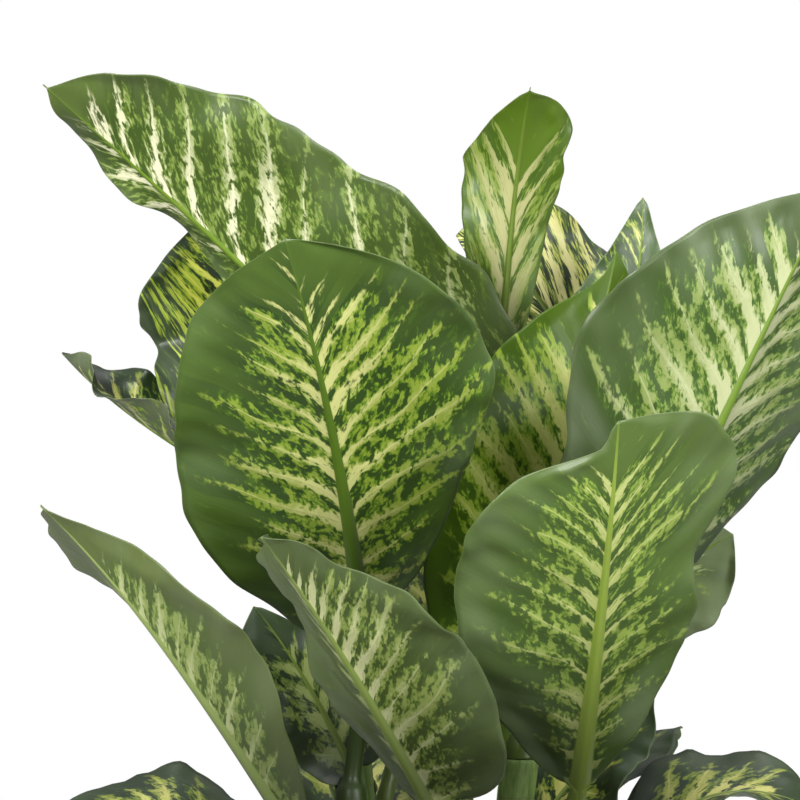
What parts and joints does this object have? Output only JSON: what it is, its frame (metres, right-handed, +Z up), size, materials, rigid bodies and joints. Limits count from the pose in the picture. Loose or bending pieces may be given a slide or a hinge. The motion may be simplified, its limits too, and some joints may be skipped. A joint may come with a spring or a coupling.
{
  "type": "potted dieffenbachia",
  "caption": "Leafy house plant with broad waved leaves, dark green with cream streaks along the veins, on upright canes in a plain round tapered pot of soil.",
  "frame": {"origin": "middle of the pot's flat bottom, where it stands", "axes": "+Z up along the pot's axis; +Y away from the side that the picture shows, +X to that side's right"},
  "size_m": [0.4468, 0.5084, 0.6961],
  "materials": {
    "pot": "satin",
    "soil": "matte",
    "cane": "satin",
    "leaf": "satin"
  },
  "bodies": {
    "root": {"pot": "pot", "soil": "soil", "cane_front_left": "cane", "cane_front_right": "cane", "cane_back_left": "cane", "cane_back_right": "cane", "leaf_front_left": "leaf", "leaf_top_left": "leaf", "leaf_top_middle": "leaf", "leaf_right": "leaf", "leaf_front_right": "leaf", "leaf_front_low": "leaf", "leaf_low_left": "leaf", "leaf_middle": "leaf", "leaf_back_right_point": "leaf", "leaf_back_middle": "leaf", "leaf_back_left": "leaf", "leaf_left_curled": "leaf", "leaf_left_inner": "leaf", "leaf_right_inner": "leaf", "leaf_right_low": "leaf", "leaf_behind_left": "leaf", "leaf_behind_middle": "leaf", "leaf_behind_right": "leaf", "leaf_low_right": "leaf", "leaf_low_back_left": "leaf", "leaf_low_back": "leaf", "leaf_low_front_right": "leaf", "leaf_low_front": "leaf", "leaf_low_back_right": "leaf"}
  },
  "joints": []
}
